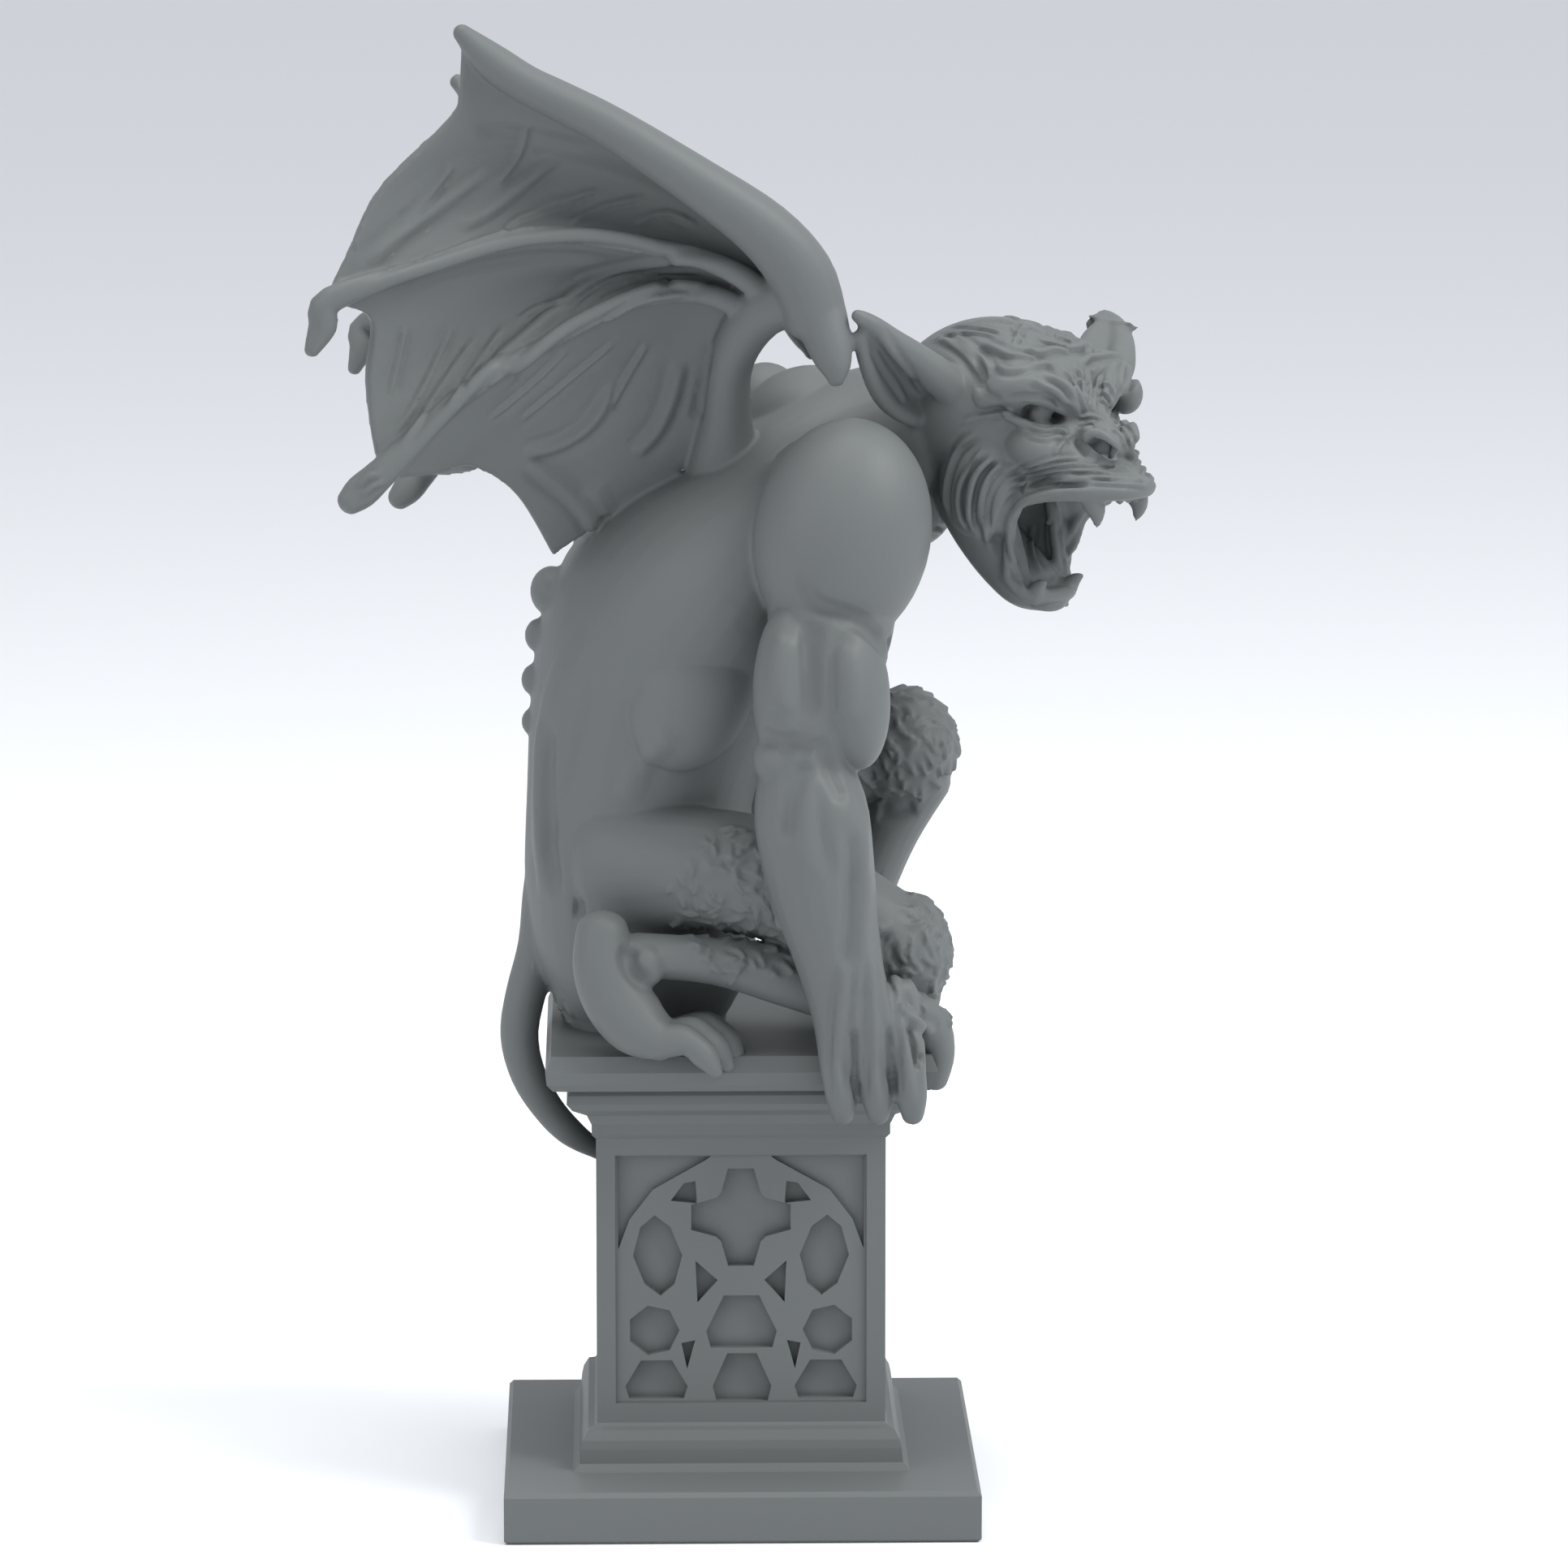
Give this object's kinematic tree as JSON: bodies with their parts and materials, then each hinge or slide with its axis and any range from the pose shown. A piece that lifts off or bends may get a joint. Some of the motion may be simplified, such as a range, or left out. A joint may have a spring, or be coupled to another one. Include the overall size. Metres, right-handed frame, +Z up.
{
  "type": "gargoyle statue",
  "caption": "Crouching winged gargoyle with an open snarling mouth, on a square gothic tracery pedestal with a slab base.",
  "frame": {"origin": "on the underside of the slab, below the middle of the pedestal's shaft", "axes": "+X the way the gargoyle's body faces, +Y its left side, +Z up"},
  "size_m": [0.1749, 0.1112, 0.3168],
  "materials": {
    "figure_stone": "charcoal cast stone with small dark pits, satin, lighter grey rubbed on the ridges",
    "pedestal_stone": "charcoal cast stone with sparser pits, satin, dark in the hollows of the tracery"
  },
  "bodies": {
    "root": {"gargoyle": "figure_stone", "pedestal": "pedestal_stone"}
  },
  "joints": []
}
